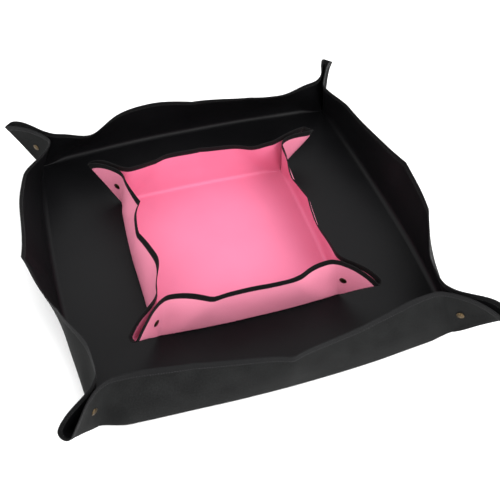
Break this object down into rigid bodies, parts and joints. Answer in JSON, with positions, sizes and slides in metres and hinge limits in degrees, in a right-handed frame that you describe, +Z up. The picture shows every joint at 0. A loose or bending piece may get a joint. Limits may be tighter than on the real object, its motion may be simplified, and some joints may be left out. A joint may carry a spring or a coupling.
{
  "type": "fold-up tray set",
  "caption": "Nest of two fold-up trays: square coated sheets with bound edges, whose corners are pinched into ears by snap fasteners and open flat.",
  "frame": {"origin": "on the ground under the middle of the outer tray", "axes": "+Z up, -Y to the outer tray's front wall, +X to its right wall"},
  "size_m": [0.6736, 0.6736, 0.0967],
  "materials": {
    "outer_sheet": "smooth coated sheet inside with a soft sheen, matte felt-like back outside",
    "inner_sheet": "smooth coated sheet, soft satin, paler back outside",
    "binding_tape": "woven bias tape, matte",
    "snap_metal": "antique brass, satin with worn high spots"
  },
  "bodies": {
    "outer_base": {"outer_base": "outer_sheet"},
    "outer_wall_front": {"outer_wall_front": "outer_sheet", "outer_binding_front": "binding_tape"},
    "outer_wall_right": {"outer_wall_right": "outer_sheet", "outer_binding_right": "binding_tape"},
    "outer_wall_back": {"outer_wall_back": "outer_sheet", "outer_binding_back": "binding_tape"},
    "outer_wall_left": {"outer_wall_left": "outer_sheet", "outer_binding_left": "binding_tape"},
    "outer_ear_front_left": {"outer_ear_front_left": "outer_sheet", "outer_socket_front_left": "snap_metal"},
    "outer_ear_front_right": {"outer_ear_front_right": "outer_sheet", "outer_stud_front_right": "snap_metal"},
    "outer_ear_right_front": {"outer_ear_right_front": "outer_sheet", "outer_socket_right_front": "snap_metal"},
    "outer_ear_right_back": {"outer_ear_right_back": "outer_sheet", "outer_stud_right_back": "snap_metal"},
    "outer_ear_back_right": {"outer_ear_back_right": "outer_sheet", "outer_socket_back_right": "snap_metal"},
    "outer_ear_back_left": {"outer_ear_back_left": "outer_sheet", "outer_stud_back_left": "snap_metal"},
    "outer_ear_left_back": {"outer_ear_left_back": "outer_sheet", "outer_socket_left_back": "snap_metal"},
    "outer_ear_left_front": {"outer_ear_left_front": "outer_sheet", "outer_stud_left_front": "snap_metal"},
    "inner_base": {"inner_base": "inner_sheet"},
    "inner_wall_front": {"inner_wall_front": "inner_sheet", "inner_binding_front": "binding_tape"},
    "inner_wall_right": {"inner_wall_right": "inner_sheet", "inner_binding_right": "binding_tape"},
    "inner_wall_back": {"inner_wall_back": "inner_sheet", "inner_binding_back": "binding_tape"},
    "inner_wall_left": {"inner_wall_left": "inner_sheet", "inner_binding_left": "binding_tape"},
    "inner_ear_front_left": {"inner_ear_front_left": "inner_sheet", "inner_ear_binding_front_left": "binding_tape", "inner_socket_front_left": "snap_metal"},
    "inner_ear_front_right": {"inner_ear_front_right": "inner_sheet", "inner_ear_binding_front_right": "binding_tape", "inner_stud_front_right": "snap_metal"},
    "inner_ear_right_front": {"inner_ear_right_front": "inner_sheet", "inner_ear_binding_right_front": "binding_tape", "inner_socket_right_front": "snap_metal"},
    "inner_ear_right_back": {"inner_ear_right_back": "inner_sheet", "inner_ear_binding_right_back": "binding_tape", "inner_stud_right_back": "snap_metal"},
    "inner_ear_back_right": {"inner_ear_back_right": "inner_sheet", "inner_ear_binding_back_right": "binding_tape", "inner_socket_back_right": "snap_metal"},
    "inner_ear_back_left": {"inner_ear_back_left": "inner_sheet", "inner_ear_binding_back_left": "binding_tape", "inner_stud_back_left": "snap_metal"},
    "inner_ear_left_back": {"inner_ear_left_back": "inner_sheet", "inner_ear_binding_left_back": "binding_tape", "inner_socket_left_back": "snap_metal"},
    "inner_ear_left_front": {"inner_ear_left_front": "inner_sheet", "inner_ear_binding_left_front": "binding_tape", "inner_stud_left_front": "snap_metal"}
  },
  "joints": [
    {"name": "outer_unfold", "type": "hinge", "parent": "outer_base", "child": "outer_wall_front", "pos_m": [0, -0.285, 0.0003], "axis": [1, 0, 0], "range_deg": [0, 89.2]},
    {"name": "outer_hinge_right", "type": "hinge", "parent": "outer_base", "child": "outer_wall_right", "pos_m": [0.285, 0, 0.0003], "axis": [0, 1, 0], "range_deg": [0, 89.3]},
    {"name": "outer_hinge_back", "type": "hinge", "parent": "outer_base", "child": "outer_wall_back", "pos_m": [0, 0.285, 0.0003], "axis": [-1, 0, 0], "range_deg": [0, 89.3]},
    {"name": "outer_hinge_left", "type": "hinge", "parent": "outer_base", "child": "outer_wall_left", "pos_m": [-0.285, 0, 0.0003], "axis": [0, -1, 0], "range_deg": [0, 89.3]},
    {"name": "outer_ear_hinge_front_left", "type": "hinge", "parent": "outer_wall_front", "child": "outer_ear_front_left", "pos_m": [-0.285, -0.285, 0.0003], "axis": [-0.1045, -0.0394, -0.9937], "range_deg": [0, 41.7]},
    {"name": "outer_ear_hinge_front_right", "type": "hinge", "parent": "outer_wall_front", "child": "outer_ear_front_right", "pos_m": [0.285, -0.285, 0.0003], "axis": [-0.1045, 0.0394, 0.9937], "range_deg": [0, 41.7]},
    {"name": "outer_ear_hinge_right_front", "type": "hinge", "parent": "outer_wall_right", "child": "outer_ear_right_front", "pos_m": [0.285, -0.285, 0.0003], "axis": [0.0394, -0.1045, -0.9937], "range_deg": [0, 41.7]},
    {"name": "outer_ear_hinge_right_back", "type": "hinge", "parent": "outer_wall_right", "child": "outer_ear_right_back", "pos_m": [0.285, 0.285, 0.0003], "axis": [-0.0394, -0.1045, 0.9937], "range_deg": [0, 41.7]},
    {"name": "outer_ear_hinge_back_right", "type": "hinge", "parent": "outer_wall_back", "child": "outer_ear_back_right", "pos_m": [0.285, 0.285, 0.0003], "axis": [0.1045, 0.0394, -0.9937], "range_deg": [0, 41.7]},
    {"name": "outer_ear_hinge_back_left", "type": "hinge", "parent": "outer_wall_back", "child": "outer_ear_back_left", "pos_m": [-0.285, 0.285, 0.0003], "axis": [0.1045, -0.0394, 0.9937], "range_deg": [0, 41.7]},
    {"name": "outer_ear_hinge_left_back", "type": "hinge", "parent": "outer_wall_left", "child": "outer_ear_left_back", "pos_m": [-0.285, 0.285, 0.0003], "axis": [-0.0394, 0.1045, -0.9937], "range_deg": [0, 41.7]},
    {"name": "outer_ear_hinge_left_front", "type": "hinge", "parent": "outer_wall_left", "child": "outer_ear_left_front", "pos_m": [-0.285, -0.285, 0.0003], "axis": [0.0394, 0.1045, 0.9937], "range_deg": [0, 41.7]},
    {"name": "inner_lift", "type": "slide", "parent": "outer_base", "child": "inner_base", "axis": [0, 0, 1], "range_m": [0, 0.15]},
    {"name": "inner_unfold", "type": "hinge", "parent": "inner_base", "child": "inner_wall_front", "pos_m": [-0.01265, -0.15998, 0.00115], "axis": [0.9998, -0.0175, 0], "range_deg": [0, 88.3]},
    {"name": "inner_hinge_right", "type": "hinge", "parent": "inner_base", "child": "inner_wall_right", "pos_m": [0.14198, -0.01065, 0.00115], "axis": [0.0175, 0.9998, 0], "range_deg": [0, 88.4]},
    {"name": "inner_hinge_back", "type": "hinge", "parent": "inner_base", "child": "inner_wall_back", "pos_m": [-0.00735, 0.14398, 0.00115], "axis": [-0.9998, 0.0175, 0], "range_deg": [0, 88.4]},
    {"name": "inner_hinge_left", "type": "hinge", "parent": "inner_base", "child": "inner_wall_left", "pos_m": [-0.16198, -0.00535, 0.00115], "axis": [-0.0175, -0.9998, 0], "range_deg": [0, 88.4]},
    {"name": "inner_ear_hinge_front_left", "type": "hinge", "parent": "inner_wall_front", "child": "inner_ear_front_left", "pos_m": [-0.16463, -0.15732, 0.00115], "axis": [-0.1049, -0.0218, -0.9942], "range_deg": [0, 41.2]},
    {"name": "inner_ear_hinge_front_right", "type": "hinge", "parent": "inner_wall_front", "child": "inner_ear_front_right", "pos_m": [0.13932, -0.16263, 0.00115], "axis": [-0.1041, 0.0254, 0.9942], "range_deg": [0, 41.2]},
    {"name": "inner_ear_hinge_right_front", "type": "hinge", "parent": "inner_wall_right", "child": "inner_ear_right_front", "pos_m": [0.13932, -0.16263, 0.00115], "axis": [0.0218, -0.1049, -0.9942], "range_deg": [0, 41.2]},
    {"name": "inner_ear_hinge_right_back", "type": "hinge", "parent": "inner_wall_right", "child": "inner_ear_right_back", "pos_m": [0.14463, 0.14132, 0.00115], "axis": [-0.0254, -0.1041, 0.9942], "range_deg": [0, 41.2]},
    {"name": "inner_ear_hinge_back_right", "type": "hinge", "parent": "inner_wall_back", "child": "inner_ear_back_right", "pos_m": [0.14463, 0.14132, 0.00115], "axis": [0.1049, 0.0218, -0.9942], "range_deg": [0, 41.2]},
    {"name": "inner_ear_hinge_back_left", "type": "hinge", "parent": "inner_wall_back", "child": "inner_ear_back_left", "pos_m": [-0.15932, 0.14663, 0.00115], "axis": [0.1041, -0.0254, 0.9942], "range_deg": [0, 41.2]},
    {"name": "inner_ear_hinge_left_back", "type": "hinge", "parent": "inner_wall_left", "child": "inner_ear_left_back", "pos_m": [-0.15932, 0.14663, 0.00115], "axis": [-0.0218, 0.1049, -0.9942], "range_deg": [0, 41.2]},
    {"name": "inner_ear_hinge_left_front", "type": "hinge", "parent": "inner_wall_left", "child": "inner_ear_left_front", "pos_m": [-0.16463, -0.15732, 0.00115], "axis": [0.0254, 0.1041, 0.9942], "range_deg": [0, 41.2]}
  ],
  "couplings": [
    {"joint": "outer_hinge_right", "follows": "outer_unfold", "ratio": 1},
    {"joint": "outer_hinge_back", "follows": "outer_unfold", "ratio": 1},
    {"joint": "outer_hinge_left", "follows": "outer_unfold", "ratio": 1},
    {"joint": "outer_ear_hinge_front_left", "follows": "outer_unfold", "ratio": 0.4669},
    {"joint": "outer_ear_hinge_front_right", "follows": "outer_unfold", "ratio": 0.4669},
    {"joint": "outer_ear_hinge_right_front", "follows": "outer_unfold", "ratio": 0.4669},
    {"joint": "outer_ear_hinge_right_back", "follows": "outer_unfold", "ratio": 0.4669},
    {"joint": "outer_ear_hinge_back_right", "follows": "outer_unfold", "ratio": 0.4669},
    {"joint": "outer_ear_hinge_back_left", "follows": "outer_unfold", "ratio": 0.4669},
    {"joint": "outer_ear_hinge_left_back", "follows": "outer_unfold", "ratio": 0.4669},
    {"joint": "outer_ear_hinge_left_front", "follows": "outer_unfold", "ratio": 0.4669},
    {"joint": "inner_hinge_right", "follows": "inner_unfold", "ratio": 1},
    {"joint": "inner_hinge_back", "follows": "inner_unfold", "ratio": 1},
    {"joint": "inner_hinge_left", "follows": "inner_unfold", "ratio": 1},
    {"joint": "inner_ear_hinge_front_left", "follows": "inner_unfold", "ratio": 0.46511},
    {"joint": "inner_ear_hinge_front_right", "follows": "inner_unfold", "ratio": 0.46511},
    {"joint": "inner_ear_hinge_right_front", "follows": "inner_unfold", "ratio": 0.46511},
    {"joint": "inner_ear_hinge_right_back", "follows": "inner_unfold", "ratio": 0.46511},
    {"joint": "inner_ear_hinge_back_right", "follows": "inner_unfold", "ratio": 0.46511},
    {"joint": "inner_ear_hinge_back_left", "follows": "inner_unfold", "ratio": 0.46511},
    {"joint": "inner_ear_hinge_left_back", "follows": "inner_unfold", "ratio": 0.46511},
    {"joint": "inner_ear_hinge_left_front", "follows": "inner_unfold", "ratio": 0.46511}
  ]
}
